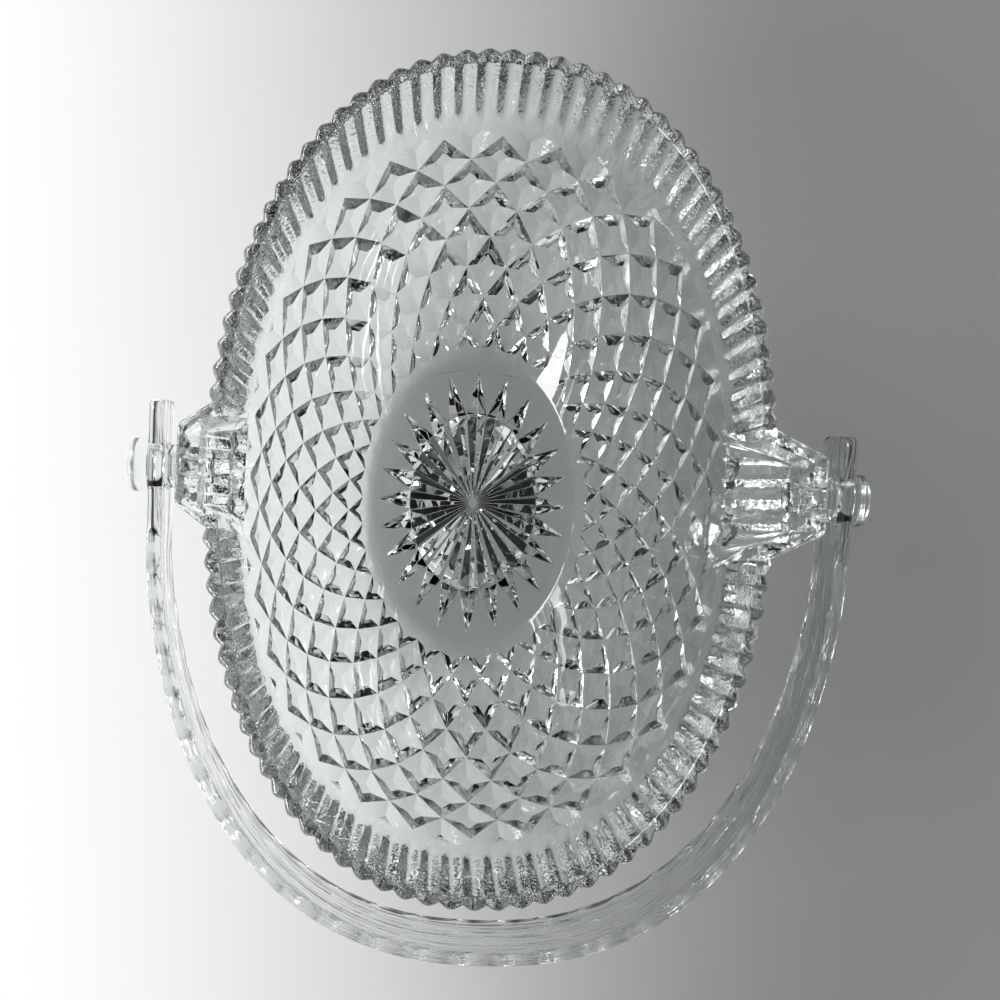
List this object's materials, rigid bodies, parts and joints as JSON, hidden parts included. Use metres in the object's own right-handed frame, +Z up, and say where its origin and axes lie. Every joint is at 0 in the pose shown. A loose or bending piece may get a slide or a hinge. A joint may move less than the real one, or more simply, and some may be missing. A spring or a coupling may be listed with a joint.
{
  "type": "glass basket",
  "caption": "Oval pressed-glass basket with a diamond-lattice bowl, ribbed scalloped rim, star base and a clear acrylic strip handle that swings on pins through lugs at its long sides.",
  "frame": {"origin": "middle of the star under the base, on the plane the basket stands on", "axes": "+X along the axis the handle swings on, +Y along the long axis of the bowl away from the resting handle, +Z up"},
  "size_m": [0.1739, 0.2145, 0.0769],
  "materials": {
    "pressed_glass": "fire-polished clear",
    "clear_acrylic": "polished clear",
    "moulded_acrylic": "polished clear"
  },
  "bodies": {
    "basket": {"bowl": "pressed_glass", "pivot_pin_left": "moulded_acrylic", "pivot_pin_right": "moulded_acrylic", "spacer_washer_left": "moulded_acrylic", "spacer_washer_right": "moulded_acrylic", "retaining_cap_left": "moulded_acrylic", "retaining_cap_right": "moulded_acrylic"},
    "handle": {"bail_handle": "clear_acrylic"}
  },
  "joints": [
    {"name": "handle_swing", "type": "hinge", "parent": "basket", "child": "handle", "pos_m": [0, 0, 0.0668], "axis": [-1, 0, 0], "range_deg": [-22, 215]}
  ]
}
